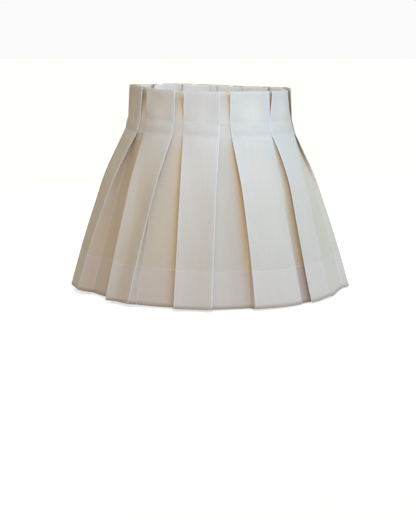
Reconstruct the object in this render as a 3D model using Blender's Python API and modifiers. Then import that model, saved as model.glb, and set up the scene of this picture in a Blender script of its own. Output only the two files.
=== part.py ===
"""Pleated cloth lamp shade: a box-pleated cotton cover on a white wire frame.

The cover is one strip of cloth folded into twelve box pleats. Two rows of stitching sew the
pleats to a tape, and the tape is sewn to the top ring. Above the stitching the cloth stands up
as a header, and below it the pleats open into the skirt. Six ribs join the top ring to the
bottom ring. A reversible gimbal swings in two lugs under the top ring, and its pressed ring
takes a lamp holder, directly or through a plastic reducer ring.

Metres, +Z up, front towards -Y. The origin is on the shade's axis, level with the hem's edge.
"""

import math

import bmesh
import bpy
from mathutils import Vector

OBJECT_NAME = "pleated_lamp_shade"
GAP = 0.0003  # between pieces that touch

# Cover: one strip of cloth in box pleats
PLEATS = 12
PANEL_WIDTH = 0.043  # front of a pleat, from fold to fold
FLANK_WIDTH = 0.017  # cloth turned back behind each fold
UNDERLAY_WIDTH = 0.044  # cloth between the flanks of two pleats
CLOTH = 0.0008
LAYER = 0.0014  # from the middle of one layer of cloth to the next, where they lie flat
PANEL_DISH = 0.0012  # how far a panel sinks between its folds
HEM_RADIUS = 0.176
LOWER_STITCH_RADIUS = 0.1045
UPPER_STITCH_RADIUS = 0.1015
COLLAR_RADIUS = 0.100
SHADE_HEIGHT = 0.2465
LOWER_STITCH_HEIGHT = 0.195
UPPER_STITCH_HEIGHT = 0.2105
FLARE_BEND = (0.131, 0.1465)  # radius and height that the skirt's outline bends towards
HEADER_OPENING = 0.009  # depth between the pleats along the top edge
HEM_EDGE = 0.001  # upright edge along the foot of the hem
SKIRT_LEVELS = 6

# Tape inside the stitching
TAPE_THICKNESS = 0.0008
TAPE_MARGIN = 0.001  # from each row of stitching to the tape's edge
TAPE_RADIUS_BACKSET = 0.0045  # from the folds in to the tape's outer face

# Wire frame
RING_WIRE = 0.0016  # radius of the ring wire
RIB_WIRE = 0.00125
TOP_RING_RADIUS = 0.0955
TOP_RING_HEIGHT = 0.203
BOTTOM_RING_RADIUS = 0.1505
BOTTOM_RING_HEIGHT = 0.0175
RIBS = 6
RING_SEGMENTS = 60
WIRE_SIDES = 8

# Reversible gimbal
LUG_WIDTH = 0.009
LUG_THICKNESS = 0.0012
LUG_DROP = 0.015
LUG_EDGE = 0.0003
PIVOT_DROP = 0.0095  # from the ring wire's underside to the hinge axis
PIVOT_HOLE = 0.0019
ARM_WIRE = 0.0014
ARM_END = 0.0025  # how far an arm's end stands out past its lug
ARM_SHOULDER = 0.0065  # straight stretch of an arm inside its lug
ARM_BENDS = 14  # straight lengths that make up an arm's S curve
GIMBAL_DROP = 0.034  # from the hinge axis to the top of the fitter ring
FITTER_HOLE = 0.0208
FITTER_RADIUS = 0.0275
FITTER_SHEET = 0.0013
FITTER_RIM = 0.0042  # height of the turned-down rim
FITTER_EDGE = 0.0006  # bevel round the rim's top
REDUCER_HOLE = 0.0145
REDUCER_FLANGE = 0.0243
REDUCER_FLANGE_THICKNESS = 0.0018
REDUCER_SPIGOT = 0.0203
REDUCER_DEPTH = 0.0052
REDUCER_EDGE = 0.0005
TURNED_STEPS = 48

HALF_PITCH = math.pi / PLEATS
LUG_TOP = TOP_RING_HEIGHT - RING_WIRE - GAP
HINGE_HEIGHT = TOP_RING_HEIGHT - RING_WIRE - PIVOT_DROP
FITTER_TOP = HINGE_HEIGHT - GIMBAL_DROP


def clear_scene():
    for obj in list(bpy.data.objects):
        bpy.data.objects.remove(obj, do_unlink=True)


def new_collection(name):
    collection = bpy.data.collections.new(name)
    bpy.context.scene.collection.children.link(collection)
    return collection


def new_material(name, colour, roughness, metallic=0.0):
    material = bpy.data.materials.new(name)
    material.use_nodes = True
    shader = material.node_tree.nodes["Principled BSDF"]
    shader.inputs["Base Color"].default_value = (*colour, 1.0)
    shader.inputs["Roughness"].default_value = roughness
    shader.inputs["Metallic"].default_value = metallic
    return material


def place(name, data, collection, material, parent=None):
    """A new object of this mesh or curve, which keeps its world place under a parent empty."""
    obj = bpy.data.objects.new(name, data)
    data.materials.append(material)
    collection.objects.link(obj)
    if parent is not None:
        obj.parent = parent
        obj.location = -parent.location
    return obj


def mesh_from(bm, name):
    mesh = bpy.data.meshes.new(name)
    bm.to_mesh(mesh)
    bm.free()
    return mesh


def shade_round(mesh, angle=math.radians(40)):
    mesh.shade_smooth()
    mesh.set_sharp_from_angle(angle=angle)


# ---------------------------------------------------------------- cover


def polar(radius, angle, height):
    """A point at this angle from the front, counted towards +X."""
    return Vector((radius * math.sin(angle), -radius * math.cos(angle), height))


def flank_length(radius, depth):
    """From a fold to its inner crease in a straight line, where the recess is this deep."""
    fold = PANEL_WIDTH / 2 / radius
    crease = HALF_PITCH - UNDERLAY_WIDTH / 2 / (radius - depth)
    return (polar(radius, fold, 0) - polar(radius - depth, crease, 0)).length


def recess_depth(radius):
    """Depth of the recess between pleats at which the flanks keep their width."""
    shallow, deep = 2 * LAYER, FLANK_WIDTH
    if flank_length(radius, shallow) > FLANK_WIDTH:
        return shallow
    while deep - shallow > 1e-6:
        middle = (shallow + deep) / 2
        if flank_length(radius, middle) < FLANK_WIDTH:
            shallow = middle
        else:
            deep = middle
    return shallow


def skirt_radius(fraction):
    """Radius of the folds from the lower stitching, 0, to the hem, 1: a curve that ends straight."""
    low, high = 0.0, 1.0
    start = (LOWER_STITCH_RADIUS, LOWER_STITCH_HEIGHT)
    bend = FLARE_BEND
    end = (HEM_RADIUS, 0.0)
    height = LOWER_STITCH_HEIGHT * (1 - fraction)
    while high - low > 1e-6:
        t = (low + high) / 2
        at = (1 - t) ** 2 * start[1] + 2 * t * (1 - t) * bend[1] + t**2 * end[1]
        low, high = (t, high) if at > height else (low, t)
    return (1 - t) ** 2 * start[0] + 2 * t * (1 - t) * bend[0] + t**2 * end[0]


def cover_levels():
    """Height, fold radius, recess depth and panel dish of each section, from the hem up."""
    levels = [(0.0, HEM_RADIUS, recess_depth(HEM_RADIUS), PANEL_DISH)]
    for step in range(SKIRT_LEVELS):
        fraction = 1 - step / SKIRT_LEVELS
        radius = skirt_radius(fraction)
        height = max(HEM_EDGE, LOWER_STITCH_HEIGHT * (1 - fraction))
        levels.append((height, radius, recess_depth(radius), PANEL_DISH))
    flat = 2 * LAYER
    levels.append((LOWER_STITCH_HEIGHT, LOWER_STITCH_RADIUS, flat, 0.0))
    levels.append((UPPER_STITCH_HEIGHT, UPPER_STITCH_RADIUS, flat, 0.0))
    levels.append((SHADE_HEIGHT, COLLAR_RADIUS, HEADER_OPENING, PANEL_DISH / 2))
    return levels


def pleat_section(level, middle):
    """Middle line of the cloth through one pleat, from its left underlay to its right flank."""
    height, radius, depth, dish = level
    fold = PANEL_WIDTH / 2 / radius
    crease = HALF_PITCH - UNDERLAY_WIDTH / 2 / (radius - depth)
    right = [
        (radius, fold),
        (radius - LAYER, fold),
        (radius - depth + LAYER, crease),
        (radius - depth, crease),
    ]
    left = [(r, -angle) for r, angle in reversed(right)]
    line = [(radius - depth, -HALF_PITCH)] + left + [(radius - dish, 0.0)] + right
    return [polar(r, middle + angle, height) for r, angle in line]


def make_cover(collection, material):
    """Loft through the folded sections, closed round the axis, then given the cloth's thickness."""
    bm = bmesh.new()
    rings = []
    for level in cover_levels():
        ring = []
        for pleat in range(PLEATS):
            points = pleat_section(level, pleat * 2 * HALF_PITCH)
            ring.extend(bm.verts.new(point) for point in points)
        rings.append(ring)
    for lower, upper in zip(rings, rings[1:]):
        for i, corner in enumerate(lower):
            after = (i + 1) % len(lower)
            bm.faces.new((corner, lower[after], upper[after], upper[i]))
    bmesh.ops.recalc_face_normals(bm, faces=bm.faces)
    cover = place("pleated_cover", mesh_from(bm, "pleated_cover"), collection, material)
    cloth = cover.modifiers.new("cloth", "SOLIDIFY")
    cloth.thickness = CLOTH
    cloth.offset = 0.0
    return cover


# ---------------------------------------------------------------- turned pieces


def make_turned(name, profile, collection, material, parent=None):
    """A closed profile of (radius, height) points, turned about the parent's or the world's Z axis."""
    bm = bmesh.new()
    corners = [bm.verts.new((radius, 0.0, height)) for radius, height in profile]
    for i, corner in enumerate(corners):
        bm.edges.new((corner, corners[(i + 1) % len(corners)]))
    mesh = mesh_from(bm, name)
    obj = place(name, mesh, collection, material, parent)
    turn = obj.modifiers.new("turn", "SCREW")
    turn.steps = turn.render_steps = TURNED_STEPS
    turn.use_merge_vertices = True
    turn.merge_threshold = 0.00001
    turn.use_smooth_shade = False
    return obj


def make_tape(collection, material):
    """A band inside the stitching, leaning with the cloth."""
    low = LOWER_STITCH_HEIGHT + TAPE_MARGIN
    high = UPPER_STITCH_HEIGHT - TAPE_MARGIN
    lean = (LOWER_STITCH_RADIUS - UPPER_STITCH_RADIUS) / (UPPER_STITCH_HEIGHT - LOWER_STITCH_HEIGHT)
    outside = UPPER_STITCH_RADIUS - TAPE_RADIUS_BACKSET + TAPE_MARGIN * lean
    at_foot = outside + lean * (high - low)
    profile = [
        (outside, high),
        (at_foot, low),
        (at_foot - TAPE_THICKNESS, low),
        (outside - TAPE_THICKNESS, high),
    ]
    return make_turned("heading_tape", profile, collection, material)


# ---------------------------------------------------------------- wire frame


def make_ring(name, radius, height, collection, material):
    bpy.ops.mesh.primitive_torus_add(
        major_radius=radius,
        minor_radius=RING_WIRE,
        major_segments=RING_SEGMENTS,
        minor_segments=WIRE_SIDES,
        location=(0.0, 0.0, height),
    )
    ring = bpy.context.object
    ring.name = ring.data.name = name
    ring.data.materials.append(material)
    ring.data.shade_smooth()
    for owner in list(ring.users_collection):
        owner.objects.unlink(ring)
    collection.objects.link(ring)
    return ring


def make_wire(name, points, radius, collection, material, parent=None):
    curve = bpy.data.curves.new(name, "CURVE")
    curve.dimensions = "3D"
    curve.bevel_depth = radius
    curve.bevel_resolution = 2
    curve.use_fill_caps = True
    spline = curve.splines.new("POLY")
    spline.points.add(len(points) - 1)
    for point, place_at in zip(spline.points, points):
        point.co = (*place_at, 1.0)
    return place(name, curve, collection, material, parent)


def make_ribs(collection, material):
    """Straight ribs, butt-welded between the two rings."""
    top = TOP_RING_HEIGHT - RING_WIRE - GAP - RIB_WIRE / 2
    foot = BOTTOM_RING_HEIGHT + RING_WIRE + GAP + RIB_WIRE / 2
    for number in range(RIBS):
        angle = 2 * math.pi * number / RIBS
        ends = [polar(TOP_RING_RADIUS, angle, top), polar(BOTTOM_RING_RADIUS, angle, foot)]
        make_wire(f"rib_{number + 1}", ends, RIB_WIRE, collection, material)


# ---------------------------------------------------------------- gimbal


def make_lug(name, side, collection, cutters, material):
    """A small plate under the top ring, with a hole for an arm's end."""
    bm = bmesh.new()
    bmesh.ops.create_cube(bm, size=1.0)
    size = Vector((LUG_THICKNESS, LUG_WIDTH, LUG_DROP))
    bmesh.ops.scale(bm, vec=size, verts=bm.verts)
    centre = Vector((side * TOP_RING_RADIUS, 0.0, LUG_TOP - LUG_DROP / 2))
    bmesh.ops.translate(bm, vec=centre, verts=bm.verts)
    lug = place(name, mesh_from(bm, name), collection, material)
    edge = lug.modifiers.new("edge", "BEVEL")
    edge.width = LUG_EDGE
    edge.segments = 1

    bpy.ops.mesh.primitive_cylinder_add(
        vertices=24,
        radius=PIVOT_HOLE,
        depth=4 * LUG_THICKNESS,
        location=(centre.x, 0.0, HINGE_HEIGHT),
        rotation=(0.0, math.pi / 2, 0.0),
    )
    drill = bpy.context.object
    drill.name = name + "_drill"
    drill.hide_render = True
    drill.display_type = "WIRE"
    for owner in list(drill.users_collection):
        owner.objects.unlink(drill)
    cutters.objects.link(drill)
    hole = lug.modifiers.new("pivot hole", "BOOLEAN")
    hole.object = drill
    hole.operation = "DIFFERENCE"
    return lug


def arm_route(side):
    """From the free end past the lug, through its hole, and in a long S down to the fitter ring."""
    outer = TOP_RING_RADIUS + LUG_THICKNESS / 2 + ARM_END
    shoulder = TOP_RING_RADIUS - LUG_THICKNESS / 2 - ARM_SHOULDER
    inner = FITTER_RADIUS + GAP
    foot = FITTER_TOP - FITTER_RIM / 2
    points = [(side * outer, 0.0, HINGE_HEIGHT)]
    for step in range(ARM_BENDS + 1):
        t = step / ARM_BENDS
        ease = t * t * (3 - 2 * t)
        x = shoulder + (inner - shoulder) * t
        points.append((side * x, 0.0, HINGE_HEIGHT + (foot - HINGE_HEIGHT) * ease))
    return points


def fitter_profile():
    """A flat pressed ring with a turned-down rim, from its outer edge inwards, clockwise."""
    top = FITTER_TOP
    rim = FITTER_RADIUS - FITTER_SHEET
    return [
        (FITTER_RADIUS - FITTER_EDGE, top),
        (FITTER_RADIUS, top - FITTER_EDGE),
        (FITTER_RADIUS, top - FITTER_RIM),
        (rim, top - FITTER_RIM),
        (rim, top - FITTER_SHEET),
        (FITTER_HOLE, top - FITTER_SHEET),
        (FITTER_HOLE, top),
    ]


def reducer_profile():
    """A flanged bush: the flange rests on the fitter ring, and the spigot goes through its hole."""
    seat = FITTER_TOP + GAP
    top = seat + REDUCER_FLANGE_THICKNESS
    foot = top - REDUCER_DEPTH
    return [
        (REDUCER_FLANGE - REDUCER_EDGE, top),
        (REDUCER_FLANGE, top - REDUCER_EDGE),
        (REDUCER_FLANGE, seat),
        (REDUCER_SPIGOT, seat),
        (REDUCER_SPIGOT, foot),
        (REDUCER_HOLE, foot),
        (REDUCER_HOLE, top - REDUCER_EDGE),
        (REDUCER_HOLE + REDUCER_EDGE, top),
    ]


def make_gimbal(collection, cutters, steel, plastic):
    hinge = bpy.data.objects.new("gimbal_hinge", None)
    hinge.location = (0.0, 0.0, HINGE_HEIGHT)
    collection.objects.link(hinge)
    for word, side in (("left", -1), ("right", 1)):
        make_lug(f"pivot_lug_{word}", side, collection, cutters, steel)
        make_wire(f"gimbal_arm_{word}", arm_route(side), ARM_WIRE, collection, steel, hinge)
    make_turned("fitter_ring", fitter_profile(), collection, steel, hinge)
    make_turned("reducer_ring", reducer_profile(), collection, plastic, hinge)


def main():
    clear_scene()
    pieces = new_collection(OBJECT_NAME)
    cutters = new_collection("cutters")
    cotton = new_material("undyed_cotton", (0.72, 0.70, 0.66), 0.9)
    tape = new_material("cotton_tape", (0.75, 0.73, 0.68), 0.85)
    steel = new_material("white_coated_steel", (0.80, 0.79, 0.76), 0.4)
    plastic = new_material("white_plastic", (0.83, 0.82, 0.79), 0.35)
    make_cover(pieces, cotton)
    make_tape(pieces, tape)
    make_ring("top_ring", TOP_RING_RADIUS, TOP_RING_HEIGHT, pieces, steel)
    make_ring("bottom_ring", BOTTOM_RING_RADIUS, BOTTOM_RING_HEIGHT, pieces, steel)
    make_ribs(pieces, steel)
    make_gimbal(pieces, cutters, steel, plastic)
    for obj in pieces.objects:
        if obj.type == "MESH" and obj.name != "pleated_cover":
            shade_round(obj.data)


main()
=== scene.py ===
"""Looks of the pleated lamp shade.

The cover is one long strip of cotton, followed thread by thread: a section of folded cloth is
drawn at each height, and each thread keeps its length on its way down from the stitching. The
hem, the turned-over header, the tape and the stitches are laid on that cloth. The wire frame
and the gimbal come from the CAD model and get their finish here.

Metres, +Z up, front towards -Y. Angles are counted from the front, towards +X.
"""

import math
from dataclasses import dataclass

import bmesh
import bpy
import numpy as np
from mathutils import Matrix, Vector


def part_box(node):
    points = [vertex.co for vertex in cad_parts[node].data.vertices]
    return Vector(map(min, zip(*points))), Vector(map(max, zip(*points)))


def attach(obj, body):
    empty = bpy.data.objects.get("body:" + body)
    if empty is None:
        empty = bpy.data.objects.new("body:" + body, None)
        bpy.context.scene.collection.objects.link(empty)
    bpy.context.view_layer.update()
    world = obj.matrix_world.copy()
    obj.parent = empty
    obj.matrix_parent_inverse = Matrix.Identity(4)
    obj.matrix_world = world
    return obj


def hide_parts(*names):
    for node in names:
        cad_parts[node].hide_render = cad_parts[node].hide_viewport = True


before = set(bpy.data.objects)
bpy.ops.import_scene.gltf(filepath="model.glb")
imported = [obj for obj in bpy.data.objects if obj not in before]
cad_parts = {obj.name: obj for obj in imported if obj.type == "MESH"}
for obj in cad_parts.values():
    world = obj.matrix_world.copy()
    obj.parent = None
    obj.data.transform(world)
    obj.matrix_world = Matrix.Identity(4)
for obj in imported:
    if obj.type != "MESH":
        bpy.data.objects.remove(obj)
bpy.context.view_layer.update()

MM = 0.001
SEED = 12

# Heights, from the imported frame
COVER_LOW, COVER_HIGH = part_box("pleated_cover")
TAPE_LOW, TAPE_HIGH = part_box("heading_tape")
TOP_RING_LOW, TOP_RING_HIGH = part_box("top_ring")
BOTTOM_RING_LOW, BOTTOM_RING_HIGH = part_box("bottom_ring")
TAPE_MARGIN = 1.0 * MM
TOP = COVER_HIGH.z
UPPER_STITCH = TAPE_HIGH.z + TAPE_MARGIN
LOWER_STITCH = TAPE_LOW.z - TAPE_MARGIN
HEM = COVER_LOW.z + 3.8 * MM  # lower edge of the panels; the cloth between them hangs lower
HEM_DEPTH = 43 * MM
WIRE = (TOP_RING_HIGH.z - TOP_RING_LOW.z) / 2  # radius of the frame's wire

# Outline of the folds, in millimetres: (height above the panels' lower edge, radius)
COLLAR = ((243.0, 99.9), (207.0, 101.4), (191.5, 104.9))
SKIRT = ((191.5, 104.9), (167.0, 117.0), (137.0, 131.0), (97.5, 145.2), (47.5, 161.7), (0.0, 175.8))

# Cloth
CLOTH = 0.45 * MM
LAYER = 0.68 * MM  # from layer to layer where the pleats are pressed flat
PANEL = 43 * MM
FLANK = 17 * MM
UNDERLAY = 44 * MM
DISH = 1.1 * MM  # how far a panel sinks between its folds
HEADER_DISH = 0.28  # share of that in the header
HEADER_OPENING = (9 * MM, 9 * MM)  # depth along the top edge, at a recess's left and right creases
SKIRT_OPENING = (15.6 * MM, 15.6 * MM)  # how much deeper its creases can get below the stitching
OPENING_FALL = 38 * MM  # distance below the stitching over which they get there
HEADER_RELEASE = 22 * MM  # distances from the stitching over which the cloth comes free of the tape
SKIRT_RELEASE = 30 * MM
HEADER_FREEDOM = 0.5  # at the top edge it is still half bound
BEND_BLUR = 1.1 * MM  # rounding of the cloth's bends at the stitching
SHADE_PAINT_REACH = 12 * MM  # how far the painted golden shade of a recess reaches from the fold over it
SHADE_PAINT_DEPTH = 8 * MM  # how far behind the folds that painted shade is full
SHADE_PAINT_LEAST = 0.18  # share of that painted shade that shows all over a recess
FOLD_HIGHLIGHT_REACH = 0.9 * MM  # width of the painted highlight along the folds
FRAME_CLEARANCE = 0.8 * MM
EDGE_GAP = 0.52 * MM  # from the cover's cloth to its edge turned in behind it
EDGE_GAP_FOLD = 0.1 * MM  # the same inside the folds
HEADER_TURN = 14 * MM  # depth of the edge turned in along the top
TAPE_CLOTH = 0.7 * MM
TAPE_STEPS = 240  # columns of the tape's mesh
THREAD = 0.17 * MM  # radius
STITCH_PITCH = 3.1 * MM
STITCH_LENGTH = 2.5 * MM
RING_LOOPS = 52
RIBS = 6
HANG_SHARE = 0.40  # how much of their spare length the recesses hang lower
TILT_STITCH = -0.025  # slopes towards +X: the cloth was sewn on a little askew
TILT_HEM = -0.010

# Life in the cloth: heights of its waves
LONG_WAVE = 0.45 * MM
HEM_PUCKER = 0.22 * MM
DENT = 0.8 * MM
BAND_PUFF = 0.5 * MM
STITCH_PULL = 0.4 * MM

# Steps for working out the cloth, which are finer than its mesh
OUTLINE_STEPS = 1200
SECTION_STEPS = 5600
ROW_STEPS = 4096


@dataclass
class Pleat:
    """One box pleat: angles in degrees, widths in metres."""

    middle: float  # of the panel, at the lower stitching
    swing: float = 0.0  # from the stitching to the hem
    width: float = PANEL
    hem_width: float = PANEL
    top_width: float = PANEL
    top_swing: float = 0.0
    haste: float = 1.0  # over 1, most of the swing comes right below the stitching
    gather: float = 1.0  # the same for the change of width
    underlay: float = UNDERLAY  # cloth between this pleat and the next
    opening: tuple = HEADER_OPENING  # of the recess after it
    sink: tuple = SKIRT_OPENING  # of the recess after it
    lift: float = 0.0  # of its top edge
    roll: float = 0.0  # how far its right fold rolls inwards in the skirt
    dip: float = 0.5  # where across the panel it sinks most
    depth: float = DISH
    ridge: float = 0.0  # height of an old crease one panel's width from the left fold
    shade_paint_spread: float = 1.0  # how far the painted golden shade reaches into the recess on its left


PLEATS = [
    Pleat(-68.5, -5.7, top_swing=1.7, haste=2.4, lift=2.8 * MM, opening=(5 * MM, 7.5 * MM)),
    Pleat(-36.9, -2.1, hem_width=36 * MM, dip=0.33, depth=6.8 * MM, opening=(13 * MM, 13 * MM),
          sink=(8.5 * MM, 13 * MM), shade_paint_spread=2.0),
    Pleat(-6.0, -0.7, hem_width=44.3 * MM, dip=0.36, depth=4.6 * MM, opening=(8 * MM, 12 * MM),
          sink=(8 * MM, 16 * MM), shade_paint_spread=1.6),
    Pleat(28.8, -0.9, 54.8 * MM, 65.7 * MM, 53.6 * MM, haste=1.6, gather=0.7, underlay=30 * MM,
          sink=(6.5 * MM, 6 * MM), ridge=2.3 * MM, lift=1.2 * MM, roll=7 * MM, shade_paint_spread=0.8),
    Pleat(59.3, -10.4, 53.5 * MM, 38.5 * MM, 37.9 * MM, -0.6, haste=2.0, gather=8.0,
          underlay=50 * MM, opening=(6 * MM, 6.5 * MM), sink=(4 * MM, 6 * MM), lift=1.2 * MM,
          roll=3.2 * MM, shade_paint_spread=1.2),
    Pleat(97.0, -8.4, underlay=38 * MM, dip=0.6, depth=2.4 * MM, lift=2.8 * MM),
    Pleat(124.0, -3.1, underlay=38 * MM, depth=2.0 * MM, lift=1.0 * MM, sink=(13 * MM, 18 * MM)),
    Pleat(150.5, -3.0, underlay=38 * MM, dip=0.4, depth=1.6 * MM, lift=-0.4 * MM,
          opening=(11 * MM, 8 * MM), sink=(18 * MM, 18 * MM)),
    Pleat(177.2, 0.5, hem_width=41.5 * MM, underlay=41 * MM, dip=0.56, depth=2.0 * MM,
          lift=0.2 * MM, sink=(18 * MM, 16 * MM)),
    Pleat(205.8, 1.4, underlay=41 * MM, dip=0.62, depth=2.6 * MM, lift=0.9 * MM,
          sink=(16 * MM, 12 * MM)),
    Pleat(234.3, -0.6, hem_width=44 * MM, underlay=41 * MM, dip=0.4, depth=2.2 * MM, lift=0.3 * MM),
    Pleat(262.9, -2.8, underlay=41 * MM, dip=0.42, depth=1.8 * MM, lift=1.8 * MM,
          sink=(14 * MM, 16 * MM)),
]


# ---------------------------------------------------------------- small tools


def rider(name, data, body, materials):
    """A new piece of the shade that moves with this body and takes these materials."""
    obj = bpy.data.objects.new(name, data)
    bpy.context.scene.collection.objects.link(obj)
    for material in materials:
        data.materials.append(material)
    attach(obj, body)
    return obj


def polar_xy(radius, angle):
    return np.stack([radius * np.sin(angle), -radius * np.cos(angle)], axis=-1)


def angle_of(xy):
    return np.arctan2(xy[..., 0], -xy[..., 1])


def wrapped(angle):
    """The same angle between -pi and pi."""
    return (angle + math.pi) % (2 * math.pi) - math.pi


def eased(x):
    """From 0 to 1, with a gentle start and end."""
    x = np.clip(x, 0.0, 1.0)
    return x * x * (3 - 2 * x)


def blurred(values, reach):
    """A closed run of evenly spaced values, averaged with a bell curve of this many steps."""
    gain = np.exp(-2 * (math.pi * np.fft.rfftfreq(len(values)) * reach) ** 2)
    return np.fft.irfft(np.fft.rfft(values) * gain, len(values))


def through(points, at):
    """A smooth curve through these (place, value) points, read at these places."""
    x, y = np.array(sorted(points)).T
    slope = np.gradient(y, x)
    i = np.clip(np.searchsorted(x, at, side="right") - 1, 0, len(x) - 2)
    span = x[i + 1] - x[i]
    t = (at - x[i]) / span
    rise = y[i + 1] - y[i]
    a = slope[i] * span - rise
    b = rise - slope[i + 1] * span
    return y[i] + t * rise + t * (1 - t) * (a * (1 - t) + b * t)


def wander(across, along, wave_across, wave_along, seed):
    """Smooth random heights of about +-1 over a grid of cloth, which closes across."""
    rng = np.random.default_rng(SEED + seed)
    around = max(int(round(across[-1] / wave_across)), 2)
    down = int(along[-1] / wave_along) + 4
    lattice = rng.uniform(-1.0, 1.0, (down, around))
    u = across / across[-1] * around
    v = along / wave_along + 1
    i, j = np.floor(v).astype(int), np.floor(u).astype(int)
    fu, fv = u - j, (v - i)[:, None]
    rows = np.zeros((len(along), len(across)))
    for di, wi in enumerate(spline_weights(fv)):
        for dj, wj in enumerate(spline_weights(fu)):
            rows += wi * wj * lattice[(i + di - 1)[:, None] % down, (j + dj - 1) % around]
    return rows * 2.2


def spline_weights(f):
    """Weights of four neighbours in a cubic B-spline."""
    return (
        (1 - f) ** 3 / 6,
        (3 * f**3 - 6 * f**2 + 4) / 6,
        (-3 * f**3 + 3 * f**2 + 3 * f + 1) / 6,
        f**3 / 6,
    )


# ---------------------------------------------------------------- the folded cloth


def row_heights():
    """Heights of the sections along the folds, from the top edge down to the hem."""
    header = np.linspace(TOP, UPPER_STITCH, 13)
    band = np.linspace(UPPER_STITCH, LOWER_STITCH, 8)[1:]
    skirt = LOWER_STITCH - (LOWER_STITCH - HEM) * np.linspace(0, 1, 46)[1:] ** 1.2
    return np.concatenate([header, band, skirt])


def fold_radius(height):
    above = (height - HEM) / MM
    z, r = np.array(sorted(COLLAR)).T
    collar = np.interp(above, z, r)
    return np.where(height > LOWER_STITCH, collar, through(SKIRT, above)) * MM


def below_stitch(height):
    """0 at the lower stitching and 1 at the hem."""
    return np.clip((LOWER_STITCH - height) / (LOWER_STITCH - HEM), 0, 1)


def above_stitch(height):
    """0 at the upper stitching and 1 at the top edge."""
    return np.clip((height - UPPER_STITCH) / (TOP - UPPER_STITCH), 0, 1)


def freedom(height):
    """0 where the stitching holds the cloth round the tape, 1 where it hangs free."""
    header = HEADER_FREEDOM * eased((height - UPPER_STITCH) / HEADER_RELEASE)
    skirt = eased((LOWER_STITCH - height) / SKIRT_RELEASE)
    return np.maximum(header, skirt)


def folds_of(pleat, height, radius):
    """Angles of a panel's left and right folds, and the panel's width, at each height."""
    down, up = below_stitch(height), above_stitch(height)
    width = pleat.width + (pleat.hem_width - pleat.width) * (1 - (1 - down) ** pleat.gather)
    width = width + (pleat.top_width - pleat.width) * up
    swing = pleat.swing * (1 - (1 - down) ** pleat.haste) + pleat.top_swing * up
    middle = np.radians(pleat.middle + swing)
    half = np.arcsin(width / 2 / radius)
    return middle - half, middle + half, width


def deepest(height, sink):
    """The most that the recess between two pleats can sink behind the folds, below the stitching."""
    below = np.maximum(LOWER_STITCH - height, 0)
    return 2 * LAYER + sink * (1 - np.exp(-below / OPENING_FALL))


def header_depth(height, opening):
    """The same above the stitching, where it grows to this opening at the top edge."""
    return 2 * LAYER + (opening - 2 * LAYER) * above_stitch(height) ** 1.3


def frame_radius(height):
    """Radius of the cone that the ribs lie on, with the room that the cloth keeps to it."""
    levels = [BOTTOM_RING_LOW.z + WIRE, TOP_RING_LOW.z + WIRE]
    cone = np.interp(height, levels, [BOTTOM_RING_HIGH.x - WIRE, TOP_RING_HIGH.x - WIRE])
    return cone + WIRE + FRAME_CLEARANCE


def arc_or_chord(ends, fraction, roundness, offset):
    """Points between two corners: an arc round the axis where roundness is 1, a chord where it is 0,
    moved outwards by offset."""
    start, end = ends
    r0, r1 = np.linalg.norm(start, axis=-1), np.linalg.norm(end, axis=-1)
    a0 = angle_of(start)
    turn = wrapped(angle_of(end) - a0)
    arc = polar_xy(
        r0[:, None] + (r1 - r0)[:, None] * fraction, a0[:, None] + turn[:, None] * fraction
    )
    chord = start[:, None] + (end - start)[:, None] * fraction[:, None]
    mixed = chord + (arc - chord) * roundness[:, None, None]
    outward = mixed / np.linalg.norm(mixed, axis=-1, keepdims=True)
    return mixed + outward * offset[..., None]


def rolled(pleat, height):
    """How far the pleat's right fold has rolled inwards at each height."""
    return pleat.roll * eased(below_stitch(height) * 3.5) * (1 - 0.6 * below_stitch(height))


def dish_of(pleat, fraction, height, width):
    """How far a panel's points stand out from the chord between its folds."""
    left, right = fraction / pleat.dip, (1 - fraction) / (1 - pleat.dip)
    hollow = np.sin(np.minimum(left, right) * math.pi / 2)
    grown = np.where(height > UPPER_STITCH, HEADER_DISH, eased(below_stitch(height) * 2))
    offset = -pleat.depth * hollow * (freedom(height) * grown)[:, None]
    offset = offset + rolled(pleat, height)[:, None] * (fraction - fraction**6)
    if pleat.ridge:
        at = (PANEL / width)[:, None]
        tent = np.minimum(fraction / at, (1 - fraction) / (1 - at))
        offset = offset * 0.5 + pleat.ridge * tent * np.sqrt(below_stitch(height))[:, None]
    return offset


# Where the threads run in each stretch of a pleat, as distances from its ends
NEAR_FOLD = (0.35 * MM, 1.0 * MM, 2.0 * MM)


def spread(length, inner):
    """Fractions along a stretch: close together at both ends, evenly spaced between."""
    ends = [d / length for d in NEAR_FOLD]
    middle = list(np.linspace(ends[-1], 1 - ends[-1], inner + 2)[1:-1])
    return np.array([0.0] + ends + middle + [1 - e for e in reversed(ends)])


SPREADS = {
    "underlay": spread(UNDERLAY, 8),
    "turn": np.array([0.0, 0.5]),
    "flank": spread(FLANK, 3),
    "panel": spread(PANEL, 14),
}
FINE = {
    "underlay": np.linspace(0, 1, 60, endpoint=False),
    "turn": np.array([0.0, 0.5]),
    "flank": np.linspace(0, 1, 24, endpoint=False),
    "panel": np.linspace(0, 1, 60, endpoint=False),
}
STRETCHES = ("underlay", "turn", "flank", "turn", "panel", "turn", "flank", "turn")


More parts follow.
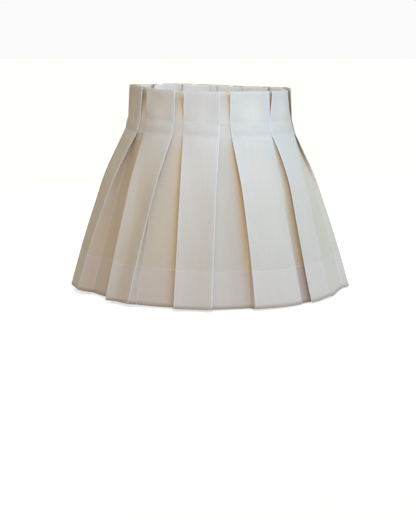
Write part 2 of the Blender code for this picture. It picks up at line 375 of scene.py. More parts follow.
class Cloth:
    """The cover's threads: a grid of points, rows from the top edge down, columns round the shade."""

    def __init__(self):
        self.height = row_heights()
        self.radius = self.softened(fold_radius(self.height))
        self.free = freedom(self.height)
        self.trace_sections()
        self.hang()
        self.add_life()

    def softened(self, values):
        """Rounds the bends at the stitching over about a millimetre."""
        fine = np.linspace(self.height[0], self.height[-1], OUTLINE_STEPS)
        read = np.interp(-fine, -self.height, values)
        step = abs(fine[1] - fine[0])
        half = 30
        kernel = np.exp(-0.5 * (np.arange(-half, half + 1) * step / BEND_BLUR) ** 2)
        padded = np.pad(read, half, mode="reflect", reflect_type="odd")
        smooth = np.convolve(padded, kernel / kernel.sum(), mode="valid")
        return np.interp(-self.height, -fine, smooth)

    def gap_after(self, i, folds):
        """Depths of the two creases of the recess after pleat i, and their angles, at each height."""
        pleat = PLEATS[i]
        after = folds[(i + 1) % len(PLEATS)]
        left, right = folds[i][1], after[0] + (2 * math.pi if i == len(PLEATS) - 1 else 0)
        gap = right - left
        spare = (pleat.width - folds[i][2] + PLEATS[(i + 1) % len(PLEATS)].width - after[2]) / 4
        flank = FLANK + spare
        depth = np.full_like(gap, 10 * MM)
        for _ in range(12):
            behind = (pleat.underlay - gap * (self.radius - depth)) / 2
            depth = 0.5 * depth + 0.5 * np.sqrt(np.maximum(flank**2 - behind**2, 1e-9))
        creases = []
        for side, fold, opening, sink in zip((-1, 1), (left, right), pleat.opening, pleat.sink):
            deep = np.clip(depth, 2 * LAYER, deepest(self.height, sink))
            deep = np.where(self.height > UPPER_STITCH, header_depth(self.height, opening), deep)
            behind = (pleat.underlay - gap * (self.radius - deep)) / 2
            behind = np.minimum(behind, np.sqrt(flank**2 - np.minimum(deep, flank * 0.98) ** 2))
            creases.append((deep, fold + side * behind / (self.radius - deep)))
        return creases

    def trace_sections(self):
        """Draws the folded section at each height, corner by corner."""
        folds = [folds_of(pleat, self.height, self.radius) for pleat in PLEATS]
        self.left_folds = np.stack([left for left, right, width in folds], axis=-1)
        gaps = [self.gap_after(i, folds) for i in range(len(PLEATS))]
        clearance = frame_radius(self.height)[:, None]
        pieces, stations, kinds, nominal = [], [], [], []
        for i, pleat in enumerate(PLEATS):
            left, right, width = folds[i]
            (start_depth, start), (left_depth, left_crease) = gaps[i - 1]
            right_depth, right_crease = gaps[i][0]
            r = self.radius
            fold_r = r - rolled(pleat, self.height)
            corner = {
                "underlay_start": polar_xy(r - start_depth, start),
                "left_crease_in": polar_xy(r - left_depth, left_crease),
                "left_crease_out": polar_xy(r - left_depth + LAYER, left_crease),
                "left_fold_in": polar_xy(r - LAYER, left),
                "left_fold": polar_xy(r, left),
                "right_fold": polar_xy(fold_r, right),
                "right_fold_in": polar_xy(fold_r - LAYER, right),
                "right_crease_out": polar_xy(r - right_depth + LAYER, right_crease),
                "right_crease_in": polar_xy(r - right_depth, right_crease),
            }
            order = list(corner.values())
            lengths = [PLEATS[i - 1].underlay, LAYER, FLANK, LAYER, pleat.width, LAYER, FLANK, LAYER]
            for k, kind in enumerate(STRETCHES):
                f = FINE[kind]
                if kind == "panel":
                    offset = dish_of(pleat, f[None, :], self.height, width)
                else:
                    offset = np.zeros((len(r), len(f)))
                points = arc_or_chord((order[k], order[k + 1]), f, 1 - self.free, offset)
                distance = np.linalg.norm(points, axis=-1)
                lift = np.maximum(clearance / distance, 1.0)[..., None]
                below = (self.height < LOWER_STITCH)[:, None, None]
                pieces.append(np.where(below, points * lift, points))
                stations.append(len(f))
                kinds.append(kind)
                nominal.append(lengths[k])
        self.resample(np.concatenate(pieces, axis=1), stations, kinds, nominal)

    def resample(self, line, stations, kinds, nominal):
        """Rounds the folds of each section and reads it where the threads run."""
        starts = np.concatenate([[0], np.cumsum(stations)])
        across, kind_of, from_end, next_pleat = [], [], [], []
        begin = 0.0
        places = []
        for k, kind in enumerate(kinds):
            f = SPREADS[kind]
            across.append(begin + f * nominal[k])
            places.append((k, f))
            from_end.append(np.minimum(f, 1 - f) * nominal[k])
            pleat, stretch = divmod(k, len(STRETCHES))
            ahead = pleat + (stretch >= STRETCHES.index("panel"))
            next_pleat.extend([ahead % len(PLEATS)] * len(f))
            kind_of.extend([kind] * len(f))
            begin += nominal[k]
        self.across = np.concatenate(across)
        self.around = begin
        self.kind = np.array(kind_of)
        self.from_end = np.concatenate(from_end)
        self.mask = np.where(self.kind == "turn", 0.0, eased(self.from_end / (6 * MM)))
        self.next_pleat = np.array(next_pleat)
        rows = []
        for row, points in enumerate(line):
            closed = np.vstack([points, points[:1]])
            run = np.concatenate([[0], np.cumsum(np.linalg.norm(np.diff(closed, axis=0), axis=1))])
            even = np.linspace(0, run[-1], SECTION_STEPS, endpoint=False)
            reach = self.fold_blur(row) / (run[-1] / SECTION_STEPS)
            at = []
            for k, f in places:
                s0, s1 = run[starts[k]], run[starts[k + 1]]
                at.append(s0 + f * (s1 - s0))
            at = np.concatenate(at)
            read = []
            for axis in (0, 1):
                value = blurred(np.interp(even, run, closed[:, axis]), reach)
                read.append(np.interp(at, even, value, period=run[-1]))
            rows.append(np.stack(read, axis=-1))
        self.xy = np.array(rows)

    def painted_recess_shade(self):
        """How much golden shade is painted on the cloth for lying behind the folds: most of all close
        to the left fold of a pleat.
        """
        ahead = wrapped(self.left_folds[:, self.next_pleat] - angle_of(self.xy))
        behind = self.radius[:, None] - np.linalg.norm(self.xy, axis=-1)
        shade_paint_spread = np.array([p.shade_paint_spread for p in PLEATS])[self.next_pleat]
        reach = shade_paint_spread * SHADE_PAINT_REACH * np.clip(behind / SHADE_PAINT_REACH, 0.25, 1)
        reach = reach * (1 - 0.45 * above_stitch(self.height))[:, None]
        near = eased(1 - np.maximum(ahead, 0) * self.radius[:, None] / reach)
        least = SHADE_PAINT_LEAST + 0.25 * (shade_paint_spread - 1)
        return (least + (1 - least) * near) * np.clip(behind / SHADE_PAINT_DEPTH, 0, 1)

    def painted_fold_highlight(self):
        """1 along the outer folds, where a paler highlight is painted, and 0 a millimetre or two off
        them.
        """
        beside = np.exp(-((self.from_end / FOLD_HIGHLIGHT_REACH) ** 2))
        beside = np.where(self.kind == "turn", 1.0, np.where(self.kind == "panel", beside, 0.0))
        return np.tile(beside, (len(self.height), 1))

    def fold_blur(self, row):
        """Softness of the folds, which are pressed sharp at the stitching."""
        z = self.height[row]
        below = max(LOWER_STITCH - z, 0)
        return 0.42 * MM + 0.75 * MM * eased(below / (70 * MM)) + 0.25 * MM * above_stitch(z)

    def hang(self):
        """Each thread keeps its length from the lower stitching, so its height follows from that."""
        steps = np.hypot(np.diff(self.height), np.diff(self.radius))
        self.along = np.concatenate([[0], np.cumsum(steps)])
        sideways = np.linalg.norm(np.diff(self.xy, axis=0), axis=-1)
        down = np.sqrt(np.maximum(steps[:, None] ** 2 - sideways**2, (0.4 * steps[:, None]) ** 2))
        run = np.vstack([np.zeros(down.shape[1]), np.cumsum(down, axis=0)])
        held = int(np.argmin(abs(self.height - LOWER_STITCH)))
        natural = LOWER_STITCH - (run - run[held])
        z = self.height[:, None] + HANG_SHARE * (natural - self.height[:, None])
        z = self.smooth_across(z, 2.5 * MM)
        slope = TILT_STITCH + (TILT_HEM - TILT_STITCH) * below_stitch(self.height)
        angle = np.degrees(angle_of(self.xy))
        lift = np.interp(angle, [p.middle for p in PLEATS], [p.lift for p in PLEATS], period=360)
        self.z = z + slope[:, None] * self.xy[..., 0] + lift * above_stitch(self.height)[:, None]

    def smooth_across(self, values, reach):
        """Averages a value over neighbouring threads, however unevenly they are spaced."""
        even = np.linspace(0, self.around, ROW_STEPS, endpoint=False)
        out = []
        for row in values:
            read = np.interp(even, self.across, row, period=self.around)
            read = blurred(read, reach / (self.around / ROW_STEPS))
            out.append(np.interp(self.across, even, read, period=self.around))
        return np.array(out)

    def add_life(self):
        """Soft waves: long ones down the skirt, puckers in the hem, and dents beside the stitching."""
        grid = np.append(self.across, self.around)
        long_waves = wander(grid, self.along, 11 * MM, 75 * MM, 1)[:, :-1]
        dents = wander(grid, self.along, 14 * MM, 13 * MM, 2)[:, :-1]
        puckers = wander(grid, self.along, 4.2 * MM, 26 * MM, 3)[:, :-1]
        down, up = below_stitch(self.height)[:, None], above_stitch(self.height)[:, None]
        hem_zone = eased((down - 0.72) / 0.1)
        waves = LONG_WAVE * long_waves * eased(down * 5) + HEM_PUCKER * puckers * hem_zone
        in_header = eased(up * 4) * (1 - 0.6 * up)
        in_skirt = 0.4 * eased(down * 12) * (1 - eased(down * 3.5))
        waves = waves + DENT * (dents * in_header + np.maximum(dents, -0.3) * in_skirt)
        shown = np.where(self.kind == "panel", 1.0, 0.0) * self.mask
        inner = np.where(self.kind == "underlay", 0.8, np.where(self.kind == "flank", 0.35, 0))
        amount = shown + inner * self.mask * self.free[:, None]
        puff = self.band_puff()[:, None] * shown
        self.xy = self.xy + self.normals()[..., :2] * (waves * amount + puff)[..., None]

    def band_puff(self):
        """The band between the rows of stitching swells a little, and each row draws the cloth in."""
        middle = (UPPER_STITCH + LOWER_STITCH) / 2
        puff = BAND_PUFF * np.exp(-(((self.height - middle) / (5 * MM)) ** 2))
        for row in (UPPER_STITCH, LOWER_STITCH):
            puff = puff - STITCH_PULL * np.exp(-(((self.height - row) / (1.3 * MM)) ** 2))
        return puff

    def normals(self):
        """Outward directions of the section at each thread."""
        ahead = np.roll(self.xy, -1, axis=1) - np.roll(self.xy, 1, axis=1)
        flat = np.stack([ahead[..., 1], -ahead[..., 0]], axis=-1)
        flat = flat / np.maximum(np.linalg.norm(flat, axis=-1, keepdims=True), 1e-9)
        return np.concatenate([flat, np.zeros(flat.shape[:-1] + (1,))], axis=-1)

    def points(self):
        return np.concatenate([self.xy, self.z[..., None]], axis=-1)


def grid_mesh(name, points, across, along, around, marks=None):
    """A closed band of quads through a grid of points, with the cloth's own measure as its UV map
    and these values at its points as named attributes."""
    rows, columns = points.shape[:2]
    mesh = bpy.data.meshes.new(name)
    i, j = np.meshgrid(np.arange(rows - 1), np.arange(columns), indexing="ij")
    after = (j + 1) % columns
    corners = [(i + 1) * columns + j, (i + 1) * columns + after, i * columns + after, i * columns + j]
    faces = np.stack(corners, axis=-1).reshape(-1, 4)
    mesh.vertices.add(rows * columns)
    mesh.vertices.foreach_set("co", points.reshape(-1).astype(np.float32))
    mesh.loops.add(faces.size)
    mesh.loops.foreach_set("vertex_index", faces.reshape(-1).astype(np.int32))
    mesh.polygons.add(len(faces))
    mesh.polygons.foreach_set("loop_start", np.arange(0, faces.size, 4, dtype=np.int32))
    mesh.update(calc_edges=True)
    u = np.append(across, around)
    u_of = [u[j], u[j + 1], u[j + 1], u[j]]
    v_of = [along[i + 1], along[i + 1], along[i], along[i]]
    uv = np.stack([np.stack(u_of, -1).reshape(-1), np.stack(v_of, -1).reshape(-1)], axis=-1)
    for mark, values in (marks or {}).items():
        mesh.attributes.new(mark, "FLOAT", "POINT").data.foreach_set("value", values.reshape(-1))
    layer = mesh.uv_layers.new(name="cloth")
    layer.data.foreach_set("uv", uv.reshape(-1).astype(np.float32))
    mesh.shade_smooth()
    return mesh


def thicken(obj, thickness):
    """Gives a sheet this thickness, half of it to each side."""
    cloth = obj.modifiers.new("cloth", "SOLIDIFY")
    cloth.thickness = thickness
    cloth.offset = 0.0
    return obj


def make_cover(cloth, materials):
    marks = {"painted_recess_shade": cloth.painted_recess_shade(), "painted_fold_highlight": cloth.painted_fold_highlight()}
    mesh = grid_mesh("cover", cloth.points(), cloth.across, cloth.along, cloth.around, marks)
    cover = rider("cover", mesh, "shade", materials)
    thicken(cover, CLOTH)
    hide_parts("pleated_cover")
    return cover


def turned_edge(name, cloth, rows, outwards, materials):
    """The cover's edge turned to the inside: these rows once more, and a bend at their outer end."""
    gap = EDGE_GAP_FOLD + (EDGE_GAP - EDGE_GAP_FOLD) * cloth.mask
    inwards = -cloth.normals() * gap[None, :, None]
    end = rows[-1] if outwards < 0 else rows[0]
    level = np.array([0.0, 0.0, outwards])
    bend = [
        cloth.points()[end] + inwards[end] * share + level * reach
        for share, reach in ((0.85, 0.0), (0.3, 0.12 * MM))
    ]
    layer = list((cloth.points() + inwards)[rows])
    layer[-1 if outwards < 0 else 0] -= level * 0.4 * MM
    along = list(cloth.along[rows])
    if outwards < 0:
        layer, along = layer + bend, along + [along[-1] + 0.3 * MM, along[-1] + 0.6 * MM]
    else:
        layer, along = bend[::-1] + layer, [along[0] - 0.6 * MM, along[0] - 0.3 * MM] + along
    mesh = grid_mesh(name, np.array(layer), cloth.across, np.array(along), cloth.around)
    edge = rider(name, mesh, "shade", materials)
    return thicken(edge, CLOTH * 0.9)


def make_tape(material):
    """The tape inside the pleats, a little slack between the stitches that hold it to the ring."""
    angle = np.linspace(0, 2 * math.pi, TAPE_STEPS + 1)[:-1]
    height = np.linspace(TAPE_HIGH.z, TAPE_LOW.z, 8)
    radius = TAPE_HIGH.x - TAPE_CLOTH / 2
    around = 2 * math.pi * radius
    down = TAPE_HIGH.z - height
    ripple = wander(np.linspace(0, around, TAPE_STEPS + 1), down, 12 * MM, 9 * MM, 5)
    slack = 0.22 * MM * ripple[:, :-1] + 0.5 * MM * (down / (13 * MM))[:, None] ** 2
    ring = polar_xy(radius + slack, angle[None, :])
    points = np.concatenate([ring, np.broadcast_to(height[:, None, None], ring.shape[:2] + (1,))], -1)
    mesh = grid_mesh("tape", points, angle * radius, down, around)
    tape = rider("tape", mesh, "shade", [material])
    thicken(tape, TAPE_CLOTH)
    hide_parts("heading_tape")
    return tape


# ---------------------------------------------------------------- thread and welds


def tube_mesh(name, paths, radii, aside, sides=6, closed=False):
    """Round tubes along paths of equally many points; aside is a direction across each path."""
    ahead = np.roll(paths, -1, axis=1) - np.roll(paths, 1, axis=1)
    if not closed:
        ahead[:, 0] = paths[:, 1] - paths[:, 0]
        ahead[:, -1] = paths[:, -1] - paths[:, -2]
    first = np.cross(ahead, np.broadcast_to(aside[:, None], ahead.shape))
    second = np.cross(ahead, first)
    first /= np.linalg.norm(first, axis=-1, keepdims=True)
    second /= np.linalg.norm(second, axis=-1, keepdims=True)
    turn = np.arange(sides) / sides * 2 * math.pi
    rim = np.cos(turn)[:, None] * first[:, :, None] + np.sin(turn)[:, None] * second[:, :, None]
    verts = paths[:, :, None] + rim * np.asarray(radii)[None, :, None, None]
    count, steps = paths.shape[:2]
    faces = []
    for tube in range(count):
        base = tube * steps * sides
        for k in range(steps if closed else steps - 1):
            low, high = base + k * sides, base + (k + 1) % steps * sides
            for side in range(sides):
                after = (side + 1) % sides
                faces.append((low + side, high + side, high + after, low + after))
        if not closed:
            faces.append([base + side for side in range(sides)])
            faces.append([base + (steps - 1) * sides + side for side in reversed(range(sides))])
    mesh = bpy.data.meshes.new(name)
    mesh.from_pydata(verts.reshape(-1, 3), [], faces)
    mesh.shade_smooth()
    return mesh


def outer_surface(cloth, row, angle):
    """Radius of the outermost cloth at these angles, in one row of threads, and its height there."""
    shown = np.isin(cloth.kind, ("panel", "underlay"))
    xy = cloth.xy[row, shown]
    apart = wrapped(angle[:, None] - angle_of(xy)[None, :])
    radius = np.linalg.norm(xy, axis=-1)
    near = np.where(abs(apart) < math.radians(1.0), radius[None, :], 0.0)
    return near.max(axis=1), cloth.z[row, shown][near.argmax(axis=1)]


def stitch_row(name, cloth, level, seed, material):
    """One row of machine stitches through all the layers, level with this height."""
    rng = np.random.default_rng(SEED + seed)
    row = int(np.argmin(abs(cloth.height - level)))
    count = int(2 * math.pi * cloth.radius[row] / STITCH_PITCH)
    middle = (np.arange(count) + rng.uniform(-0.08, 0.08, count)) / count * 2 * math.pi
    radius, height = outer_surface(cloth, row, middle)
    drift = 0.25 * MM * np.sin(middle * 5 + seed) + rng.normal(0, 0.06 * MM, count)
    slope = rng.normal(0, 0.12 * MM, count)
    paths = []
    for step, rise in ((-1, -0.35), (-0.88, 0.25), (-0.4, 0.5), (0.4, 0.5), (0.88, 0.25), (1, -0.35)):
        angle = middle + step * STITCH_LENGTH / 2 / radius
        out = radius + CLOTH / 2 + rise * 2 * THREAD
        level_here = height + drift + slope * step
        paths.append(np.concatenate([polar_xy(out, angle), level_here[:, None]], axis=-1))
    paths = np.stack(paths, axis=1)
    upright = np.tile([0.0, 0.0, 1.0], (count, 1))
    thick = np.array([0.55, 0.95, 1.0, 1.0, 0.95, 0.55]) * THREAD
    return rider(name, tube_mesh(name, paths, thick, upright), "shade", [material])


def ring_stitches(material):
    """Slanting loops of doubled thread that hold the tape to the top ring."""
    rng = np.random.default_rng(SEED + 21)
    inner = TOP_RING_HIGH.x - 2 * WIRE - 1.5 * THREAD
    outer = TAPE_HIGH.x + 1.5 * THREAD
    turn = np.arange(20) / 20 * 2 * math.pi
    paths, aside = [], []
    for k in range(RING_LOOPS):
        middle = (k + rng.uniform(-0.12, 0.12)) / RING_LOOPS * 2 * math.pi
        lean = rng.uniform(0.8, 1.3) * MM
        for strand in (-1, 1):
            angle = middle + (lean * np.sin(turn) + strand * 0.9 * THREAD) / inner
            radius = (inner + outer) / 2 - (outer - inner) / 2 * np.cos(turn)
            height = (TOP_RING_LOW.z + WIRE) + (WIRE + 1.6 * THREAD) * np.sin(turn)
            paths.append(np.concatenate([polar_xy(radius, angle), height[:, None]], axis=-1))
            aside.append([math.cos(middle), math.sin(middle), 0.0])
    thick = np.full(len(turn), THREAD * 1.1)
    mesh = tube_mesh("ring_stitches", np.array(paths), thick, np.array(aside), 6, True)
    return rider("ring_stitches", mesh, "shade", [material])


def weld_beads(materials):
    """A small uneven bead where each rib meets a ring, and where a lug hangs from the top ring."""
    rng = np.random.default_rng(SEED + 31)
    bm = bmesh.new()
    spots = []
    for k in range(RIBS):
        angle = 2 * math.pi * k / RIBS
        spots.append((TOP_RING_HIGH.x - WIRE, angle, TOP_RING_LOW.z - 0.1 * MM, 1.9 * MM))
        spots.append((BOTTOM_RING_HIGH.x - WIRE, angle, BOTTOM_RING_HIGH.z + 0.1 * MM, 1.9 * MM))
    for side in (-1, 1):
        for aside in (-3.1 * MM, 3.1 * MM):
            angle = side * math.pi / 2 + aside / TOP_RING_HIGH.x
            spots.append((TOP_RING_HIGH.x - WIRE, angle, TOP_RING_LOW.z - 0.1 * MM, 1.5 * MM))
    for radius, angle, height, size in spots:
        made = bmesh.ops.create_icosphere(bm, subdivisions=3, radius=size)
        centre = Vector((radius * math.sin(angle), -radius * math.cos(angle), height))
        squash = Vector((rng.uniform(0.95, 1.15), rng.uniform(0.95, 1.15), rng.uniform(0.5, 0.65)))
        phase = rng.uniform(0, 6.3, 3)
        for vert in made["verts"]:
            lump_x = math.sin(vert.co.x / size * 3 + phase[0])
            lump_y = math.sin(vert.co.y / size * 3 + phase[1])
            vert.co = centre + vert.co * squash * (1 + 0.09 * lump_x * lump_y)
    for face in bm.faces:
        face.smooth = True
    mesh = bpy.data.meshes.new("weld_beads")
    bm.to_mesh(mesh)
    bm.free()
    return rider("weld_beads", mesh, "shade", materials)


# ---------------------------------------------------------------- materials


class Nodes:
    """Short calls for building a material's node tree."""

    def __init__(self, name):
        self.material = bpy.data.materials.new(name)
        self.material.use_nodes = True
        self.tree = self.material.node_tree
        self.shader = self.tree.nodes["Principled BSDF"]
        self.output = self.tree.nodes["Material Output"]

    def new(self, kind, **settings):
        node = self.tree.nodes.new("ShaderNode" + kind)
        for key, value in settings.items():
            setattr(node, key, value)
        return node

    def link(self, source, target):
        self.tree.links.new(source, target)

    def feed(self, node, name, value):
        """Gives a node's input a value, or links it to an output."""
        socket = node.inputs[name]
        if hasattr(value, "is_output"):
            self.link(value, socket)
        else:
            socket.default_value = value

    def math(self, operation, *values, clamp=False):
        node = self.new("Math", operation=operation, use_clamp=clamp)
        for i, value in enumerate(values):
            self.feed(node, i, value)
        return node.outputs[0]

    def mix(self, factor, first, second, blend="MIX"):
        node = self.new("Mix", data_type="RGBA", blend_type=blend)
        self.feed(node, 0, factor)
        self.feed(node, 6, first if hasattr(first, "is_output") else (*first, 1))
        self.feed(node, 7, second if hasattr(second, "is_output") else (*second, 1))
        return node.outputs[2]

    def ramp(self, value, stops):
        """Runs a value through straight stretches from (place, result) to (place, result)."""
        low, high = stops
        node = self.new("MapRange", clamp=True)
        for name, number in zip(
            ("From Min", "From Max", "To Min", "To Max"), (low[0], high[0], low[1], high[1])
        ):
            node.inputs[name].default_value = number
        self.feed(node, "Value", value)
        return node.outputs[0]

    def scaled(self, vector, scale):
        node = self.new("Mapping")
        self.feed(node, "Vector", vector)
        node.inputs["Scale"].default_value = scale
        return node.outputs[0]

    def noise(self, vector, scale, detail=2.0, rough=0.5):
        node = self.new("TexNoise")
        self.feed(node, "Vector", vector)
        node.inputs["Scale"].default_value = scale
        node.inputs["Detail"].default_value = detail
        node.inputs["Roughness"].default_value = rough
        return node.outputs["Fac"]

    def bump(self, height, distance, strength=1.0, normal=None):
        node = self.new("Bump")
        self.feed(node, "Height", height)
        node.inputs["Distance"].default_value = distance
        node.inputs["Strength"].default_value = strength
        if normal is not None:
            self.link(normal, node.inputs["Normal"])
        return node.outputs[0]

    def finish(self, colour, roughness, normal):
        """Leads these three to the material's shader."""
        self.link(colour, self.shader.inputs["Base Color"])
        self.link(roughness, self.shader.inputs["Roughness"])
        self.link(normal, self.shader.inputs["Normal"])


YARN = 0.52 * MM  # from one thread of the weave to the next
TWILL_PITCH = 1.3 * MM


def weave_height(n, u, v, pitch):
    """Height of a plain weave: the warp and the weft take turns on top."""
    across = n.math("MULTIPLY", u, math.pi / pitch)
    along = n.math("MULTIPLY", v, math.pi / pitch)
    turn = n.math("MULTIPLY", n.math("SINE", across), n.math("SINE", along))
    round_u = n.math("ABSOLUTE", n.math("COSINE", across))
    round_v = n.math("ABSOLUTE", n.math("COSINE", along))
    over = n.math("MULTIPLY", n.math("ADD", turn, 1.0), round_u)
    under = n.math("MULTIPLY", n.math("SUBTRACT", 1.0, turn), round_v)
    return n.math("MULTIPLY", n.math("ADD", over, under), 0.5)


def cotton(name, cream, hem_cream, see_through, hem_see_through, hem_line):
    """Undyed plain-weave cotton: slubs, seed specks, a hem of doubled cloth from hem_line down, a
    golden shade painted on the cloth inside the recesses, where light comes through other layers, and
    a paler highlight painted along the folds."""
    n = Nodes(name)
    uv = n.new("UVMap", uv_map="cloth").outputs[0]
    apart = n.new("SeparateXYZ")
    n.link(uv, apart.inputs[0])
    u, v = apart.outputs[0], apart.outputs[1]
    in_hem = n.ramp(v, ((hem_line - 0.3 * MM, 0.0), (hem_line + 0.3 * MM, 1.0)))
    base = n.mix(in_hem, cream, hem_cream)
    cloudy = n.noise(n.scaled(uv, (14, 9, 1)), 1.0, 2.0)
    base = n.mix(n.ramp(cloudy, ((0.3, 0.0), (0.7, 0.16))), base, (0.74, 0.64, 0.50))
    slub = n.noise(n.scaled(uv, (620, 22, 1)), 1.0, 3.0, 0.6)
    base = n.mix(n.ramp(slub, ((0.42, 0.16), (0.6, 0.0))), base, (0.68, 0.60, 0.485))
    weft = n.noise(n.scaled(uv, (26, 560, 1)), 1.0, 2.0, 0.5)
    base = n.mix(n.ramp(weft, ((0.38, 0.06), (0.55, 0.0))), base, (0.71, 0.62, 0.50))
    # Painted shade: the cloth in the recesses behind the folds is tinted golden, for the shade and the
    # light through other layers there.
    painted_recess_shade = n.new("Attribute", attribute_name="painted_recess_shade").outputs["Fac"]
    painted_shade_colour = n.mix(in_hem, (0.86, 0.67, 0.38), (0.76, 0.56, 0.40))
    base = n.mix(n.math("MULTIPLY", painted_recess_shade, 0.85), base, painted_shade_colour)
    # Painted highlight: the cloth along the folds is made paler, for light caught on their edges.
    painted_fold_highlight = n.new("Attribute", attribute_name="painted_fold_highlight").outputs["Fac"]
    base = n.mix(n.math("MULTIPLY", painted_fold_highlight, 0.6), base, (0.94, 0.91, 0.86))
    base = n.mix(seed_specks(n, uv), base, (0.20, 0.145, 0.09))
    weave = weave_height(n, u, v, YARN)
    normal = n.bump(weave, 0.10 * MM, 0.55)
    normal = n.bump(slub, 0.09 * MM, 0.5, normal)
    edge = n.math("ABSOLUTE", n.math("SUBTRACT", v, hem_line))
    line = n.ramp(edge, ((0.0, 1.0), (0.6 * MM, 0.0)))
    base = n.mix(n.math("MULTIPLY", line, 0.5), base, (0.86, 0.79, 0.69))
    n.finish(base, n.ramp(weave, ((0.0, 0.95), (1.0, 0.82))), normal)
    n.shader.inputs["Specular IOR Level"].default_value = 0.25
    n.shader.inputs["Sheen Weight"].default_value = 0.12
    n.shader.inputs["Sheen Roughness"].default_value = 0.5
    through_cloth = n.new("BsdfTranslucent")
    stain = n.mix(in_hem, (1.0, 0.82, 0.55), (1.0, 0.74, 0.54))
    n.link(n.mix(1.0, base, stain, "MULTIPLY"), through_cloth.inputs["Color"])
    n.link(normal, through_cloth.inputs["Normal"])
    share = n.ramp(in_hem, ((0.0, see_through), (1.0, hem_see_through)))
    both = n.new("MixShader")
    n.link(share, both.inputs[0])
    n.link(n.shader.outputs[0], both.inputs[1])
    n.link(through_cloth.outputs[0], both.inputs[2])
    n.link(both.outputs[0], n.output.inputs["Surface"])
    return n.material


def seed_specks(n, uv):
    """Flecks of seed husk: a few dark ones, and more that are small and faint."""
    shares = []
    for scale, smallest, largest, keep, dark in (
        (62, 0.010, 0.034, 0.34, 0.75),
        (150, 0.03, 0.075, 0.32, 0.38),
    ):
        cells = n.new("TexVoronoi", feature="F1")
        n.link(n.scaled(uv, (scale, scale * 0.8, 1)), cells.inputs["Vector"])
        cells.inputs["Scale"].default_value = 1.0
        pick = n.new("SeparateColor")
        n.link(cells.outputs["Color"], pick.inputs[0])
        size = n.ramp(pick.outputs[1], ((0.0, smallest), (1.0, largest)))
        inside = n.math("SUBTRACT", size, cells.outputs["Distance"])
        spot = n.ramp(inside, ((-0.006, 0.0), (0.006, 1.0)))
        chosen = n.math("LESS_THAN", pick.outputs[0], keep)
        shares.append(n.math("MULTIPLY", n.math("MULTIPLY", spot, chosen), dark))
    return n.math("MAXIMUM", *shares)


def cotton_twill():
    """Twill tape: ribs that slant one way in its upper half and the other way in its lower half."""
    n = Nodes("cotton_twill")
    uv = n.new("UVMap", uv_map="cloth").outputs[0]
    apart = n.new("SeparateXYZ")
    n.link(uv, apart.inputs[0])
    middle = (TAPE_HIGH.z - TAPE_LOW.z) / 2
    from_middle = n.math("ABSOLUTE", n.math("SUBTRACT", apart.outputs[1], middle))
    slant = n.math("ADD", apart.outputs[0], from_middle)
    ribs = n.math("SINE", n.math("MULTIPLY", slant, 2 * math.pi / TWILL_PITCH))
    slub = n.noise(n.scaled(uv, (300, 300, 1)), 1.0, 3.0, 0.6)
    colour = n.mix(n.ramp(ribs, ((-1.0, 0.55), (0.4, 0.0))), (0.81, 0.765, 0.655), (0.68, 0.61, 0.47))
    colour = n.mix(n.ramp(slub, ((0.4, 0.3), (0.6, 0.0))), colour, (0.70, 0.64, 0.52))
    normal = n.bump(slub, 0.08 * MM, 0.5, n.bump(ribs, 0.12 * MM, 0.7))
    n.finish(colour, n.ramp(ribs, ((-1.0, 0.95), (1.0, 0.8))), normal)
    n.shader.inputs["Specular IOR Level"].default_value = 0.2
    n.shader.inputs["Sheen Weight"].default_value = 0.15
    return n.material


def cotton_thread():
    """Sewing thread, a little paler than the cloth, with the bumps of its twist."""
    n = Nodes("cotton_thread")
    where = n.new("TexCoord").outputs["Object"]
    twist = n.noise(where, 4200, 2.0)
    dirt = n.noise(where, 70, 2.0)
    colour = n.mix(n.ramp(dirt, ((0.35, 0.0), (0.7, 0.6))), (0.83, 0.785, 0.67), (0.74, 0.68, 0.54))
    n.finish(colour, n.ramp(twist, ((0.3, 0.6), (0.7, 0.8))), n.bump(twist, 0.05 * MM, 0.6))
    n.shader.inputs["Sheen Weight"].default_value = 0.2
    return n.material


def coated_steel():
    """White powder coat: a fine orange peel, a little yellowed and rubbed."""
    n = Nodes("powder_coated_steel")
    where = n.new("TexCoord").outputs["Object"]
    stain = n.noise(where, 60, 3.0)
    colour = n.mix(n.ramp(stain, ((0.4, 0.0), (0.75, 0.7))), (0.80, 0.785, 0.74), (0.72, 0.68, 0.58))
    peel = n.noise(where, 1400, 2.0)
    n.finish(colour, n.ramp(stain, ((0.3, 0.3), (0.7, 0.46))), n.bump(peel, 0.05 * MM, 0.5))
    return n.material


def satin_plastic():
    """Moulded white plastic: a fine grain and a faint unevenness of colour."""
    n = Nodes("satin_plastic")
    where = n.new("TexCoord").outputs["Object"]
    grain = n.noise(where, 2600, 2.0)
    cloud = n.noise(where, 45, 2.0)
    colour = n.mix(n.ramp(cloud, ((0.3, 0.0), (0.7, 1.0))), (0.82, 0.81, 0.78), (0.79, 0.77, 0.72))
    n.finish(colour, n.ramp(grain, ((0.3, 0.28), (0.7, 0.4))), n.bump(grain, 0.02 * MM, 0.4))
    return n.material


# ---------------------------------------------------------------- stage


def area_light(name, size, power, colour):
    """A square light that the camera doesn't see."""
    data = bpy.data.lights.new(name, "AREA")
    data.size = size
    data.energy = power
    data.color = colour
    light = bpy.data.objects.new(name, data)
    light.visible_camera = False
    bpy.context.scene.collection.objects.link(light)
    return light


def soft_light(name, azimuth, distance, height, size, power, colour):
    """A light at this angle from the front, in degrees, which faces the middle of the shade."""
    light = area_light(name, size, power, colour)
    angle = math.radians(azimuth)
    light.location = (math.sin(angle) * distance, -math.cos(angle) * distance, height)
    away = light.location - Vector((0.0, 0.0, (TOP + HEM) / 2))
    light.rotation_mode = "QUATERNION"
    light.rotation_quaternion = away.to_track_quat("Z", "Y")


def collar_light():
    """Light on the inside of the collar's back, which the room sends in through the collar's mouth."""
    light = area_light("collar_light", 0.1, 0.13, (0.6, 0.76, 1.0))
    light.location = (0.0, -0.03, UPPER_STITCH + 20 * MM)
    light.rotation_euler = (math.radians(90), 0.0, 0.0)


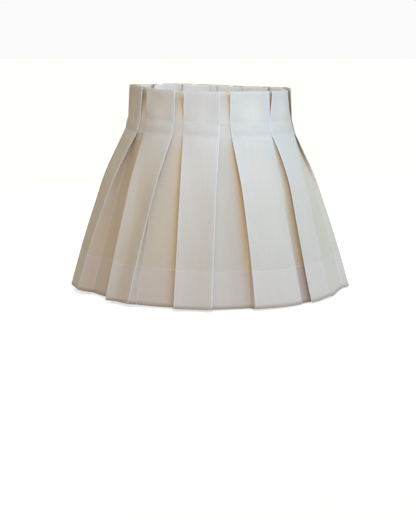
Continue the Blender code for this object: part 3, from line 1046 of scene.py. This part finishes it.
def make_lights():
    """Cool daylight from the front, the right and behind, near enough to fall off down the skirt."""
    soft_light("front_light", 5, 0.42, 0.42, 0.2, 1.65, (0.55, 0.71, 1.0))
    soft_light("sky_light", 33, 0.42, 0.42, 0.2, 0.50, (0.05, 0.43, 1.0))
    soft_light("side_light", 80, 0.60, 0.36, 0.3, 2.21, (0.43, 0.68, 1.0))
    soft_light("back_light", 195, 0.90, 0.50, 0.5, 3.2, (0.8, 0.93, 1.0))
    collar_light()


def make_world():
    """Even room light on the object, and white paper behind it for the camera."""
    world = bpy.data.worlds.new("studio")
    bpy.context.scene.world = world
    world.use_nodes = True
    tree = world.node_tree
    room = tree.nodes["Background"]
    room.inputs["Color"].default_value = (0.99, 1.0, 0.90, 1.0)
    room.inputs["Strength"].default_value = 0.667
    paper = tree.nodes.new("ShaderNodeBackground")
    paper.inputs["Color"].default_value = (0.96, 0.96, 0.96, 1.0)
    seen = tree.nodes.new("ShaderNodeLightPath")
    both = tree.nodes.new("ShaderNodeMixShader")
    tree.links.new(seen.outputs["Is Camera Ray"], both.inputs[0])
    tree.links.new(room.outputs[0], both.inputs[1])
    tree.links.new(paper.outputs[0], both.inputs[2])
    tree.links.new(both.outputs[0], tree.nodes["World Output"].inputs["Surface"])


def make_floor():
    """A pale floor that fades to white with distance."""
    bm = bmesh.new()
    bmesh.ops.create_grid(bm, x_segments=2, y_segments=2, size=12.0)
    mesh = bpy.data.meshes.new("floor")
    bm.to_mesh(mesh)
    bm.free()
    floor = bpy.data.objects.new("floor", mesh)
    bpy.context.scene.collection.objects.link(floor)
    n = Nodes("pale_floor")
    n.shader.inputs["Base Color"].default_value = (0.60, 0.54, 0.46, 1)
    n.shader.inputs["Roughness"].default_value = 0.9
    n.shader.inputs["Specular IOR Level"].default_value = 0.1
    n.shader.inputs["Emission Color"].default_value = (0.95, 0.98, 1.0, 1)
    seen = n.new("LightPath").outputs["Is Camera Ray"]
    n.link(n.math("MULTIPLY", seen, 0.68), n.shader.inputs["Emission Strength"])
    mesh.materials.append(n.material)
    return floor


def make_camera():
    """The photo's view: from 1.6 m in front and 0.3 m up, looking down by 10 degrees."""
    data = bpy.data.cameras.new("camera")
    data.lens = 90.6
    data.sensor_width = 36.0
    camera = bpy.data.objects.new("camera", data)
    camera.location = (-0.0028, -1.6316, 0.3162 + HEM)
    camera.rotation_euler = (math.radians(90 - 10.06), 0.0, 0.0)
    bpy.context.scene.collection.objects.link(camera)
    bpy.context.scene.camera = camera


def make_cloth_parts(thread):
    """The cover, and what is turned in or sewn on it."""
    cloth = Cloth()
    hem_line = cloth.along[-1] - HEM_DEPTH
    cover_cotton = cotton(
        "undyed_cotton", (0.815, 0.735, 0.62), (0.785, 0.665, 0.55), 0.40, 0.28, hem_line
    )
    cover = make_cover(cloth, [cover_cotton])
    turned_up = np.flatnonzero(cloth.along > hem_line)
    turned_over = np.flatnonzero(cloth.along < HEADER_TURN)
    sewn_on = [
        turned_edge("hem_turn_up", cloth, turned_up, -1, [cover_cotton]),
        turned_edge("header_turn_over", cloth, turned_over, 1, [cover_cotton]),
        stitch_row("upper_stitches", cloth, UPPER_STITCH, 7, thread),
        stitch_row("lower_stitches", cloth, LOWER_STITCH, 8, thread),
    ]


def finish_frame(steel, plastic):
    """Gives the CAD parts that stay their materials."""
    for name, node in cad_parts.items():
        if name in ("pleated_cover", "heading_tape"):
            continue
        node.data.materials.clear()
        node.data.materials.append(plastic if name == "reducer_ring" else steel)


def main():
    make_camera()
    thread = cotton_thread()
    make_cloth_parts(thread)
    make_tape(cotton_twill())
    ring_stitches(thread)
    steel = coated_steel()
    weld_beads([steel])
    finish_frame(steel, satin_plastic())
    make_floor()
    make_lights()
    make_world()
    bpy.context.scene.view_settings.view_transform = "Standard"


main()
